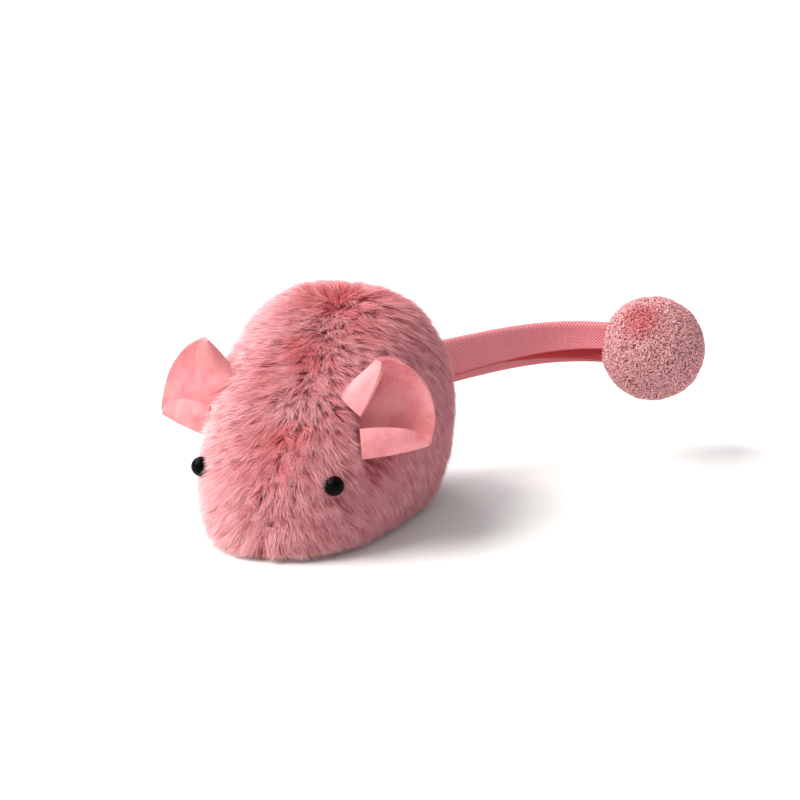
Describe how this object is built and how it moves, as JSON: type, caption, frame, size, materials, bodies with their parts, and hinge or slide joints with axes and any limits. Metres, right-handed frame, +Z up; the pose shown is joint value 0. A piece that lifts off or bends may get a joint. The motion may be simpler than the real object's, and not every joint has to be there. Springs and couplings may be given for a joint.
{
  "type": "clockwork mouse",
  "caption": "Wind-up mouse with a combed fur cover, felt ears, bead eyes, a woven strap tail with a round tuft, and a spring-driven gear train on wheels.",
  "frame": {"origin": "on the floor that the wheels stand on, under the middle of the body", "axes": "+Z up, -Y from the body towards the nose, +X towards the mouse's left; the axles lie along X"},
  "size_m": [0.1035, 0.1295, 0.0537],
  "materials": {
    "rose_fur": "long pile, combed back",
    "salmon_felt": "pressed felt",
    "rose_webbing": "twill weave",
    "rose_terry": "curly pile",
    "black_bead": "polished",
    "shell_plastic": "moulded, satin",
    "base_plastic": "moulded, fine grain",
    "wheel_nylon": "moulded nylon, satin",
    "gear_nylon": "moulded nylon, satin",
    "tyre_rubber": "matt",
    "plate_steel": "stamped, zinc plated",
    "turned_steel": "turned, bright",
    "spring_steel": "blued",
    "screw_steel": "zinc plated",
    "turned_brass": "turned and hobbed",
    "key_steel": "nickel plated"
  },
  "bodies": {
    "housing": {"fur_cover": "rose_fur", "ear_left": "salmon_felt", "ear_right": "salmon_felt", "eye_left": "black_bead", "eye_right": "black_bead", "body_shell": "shell_plastic", "base_plate": "base_plastic", "base_screws": "screw_steel", "gear_plate_left": "plate_steel", "gear_plate_right": "plate_steel", "plate_pillars": "turned_brass", "axle_bushes": "turned_brass", "idler_pin": "turned_steel", "click_pin": "turned_steel", "click_spring": "spring_steel", "tail_pin": "turned_steel"},
    "winder": {"winding_key": "key_steel", "key_arbor": "turned_steel", "ratchet_wheel": "turned_steel"},
    "pawl": {"click": "plate_steel"},
    "barrel": {"spring_barrel": "gear_nylon", "barrel_lid": "gear_nylon", "mainspring": "spring_steel"},
    "idler": {"idler_gear": "turned_brass"},
    "driver": {"drive_axle": "turned_steel", "output_pinion": "turned_brass", "wheel_left": "wheel_nylon", "wheel_right": "wheel_nylon", "tyre_left": "tyre_rubber", "tyre_right": "tyre_rubber"},
    "caster": {"caster_fork": "wheel_nylon", "roller_pin": "turned_steel"},
    "roller": {"caster_roller": "base_plastic"},
    "tail": {"tail_plug": "shell_plastic", "tail_core": "spring_steel", "tail_strap": "rose_webbing", "tail_ball": "rose_terry"}
  },
  "joints": [
    {"name": "axle_turn", "type": "hinge", "parent": "housing", "child": "driver", "pos_m": [0, 0.012, 0.0075], "axis": [1, 0, 0], "continuous": true},
    {"name": "idler_turn", "type": "hinge", "parent": "housing", "child": "idler", "pos_m": [0, 0.00465, 0.015], "axis": [1, 0, 0], "continuous": true},
    {"name": "barrel_turn", "type": "hinge", "parent": "housing", "child": "barrel", "pos_m": [0, 0.015, 0.022], "axis": [1, 0, 0], "continuous": true},
    {"name": "key_turn", "type": "hinge", "parent": "housing", "child": "winder", "pos_m": [0, 0.015, 0.022], "axis": [1, 0, 0], "continuous": true},
    {"name": "click_lift", "type": "hinge", "parent": "housing", "child": "pawl", "pos_m": [0, 0.01369, 0.02939], "axis": [1, 0, 0], "range_deg": [0, 10], "stiffness_Nm_per_rad": 0.0002, "springref_deg": -5.73, "deforming": ["click_spring"]},
    {"name": "caster_swivel", "type": "hinge", "parent": "housing", "child": "caster", "pos_m": [0, -0.0155, 0.011], "axis": [0, 0, 1], "continuous": true},
    {"name": "roller_turn", "type": "hinge", "parent": "caster", "child": "roller", "pos_m": [0, -0.0131, 0.0036], "axis": [1, 0, 0], "continuous": true},
    {"name": "tail_sway", "type": "hinge", "parent": "housing", "child": "tail", "pos_m": [0, 0.0308, 0.0285], "axis": [0, 0, 1], "range_deg": [-15, 15], "stiffness_Nm_per_rad": 0.01}
  ],
  "couplings": [
    {"joint": "idler_turn", "follows": "axle_turn", "ratio": -0.3125},
    {"joint": "barrel_turn", "follows": "axle_turn", "ratio": 0.078125}
  ]
}
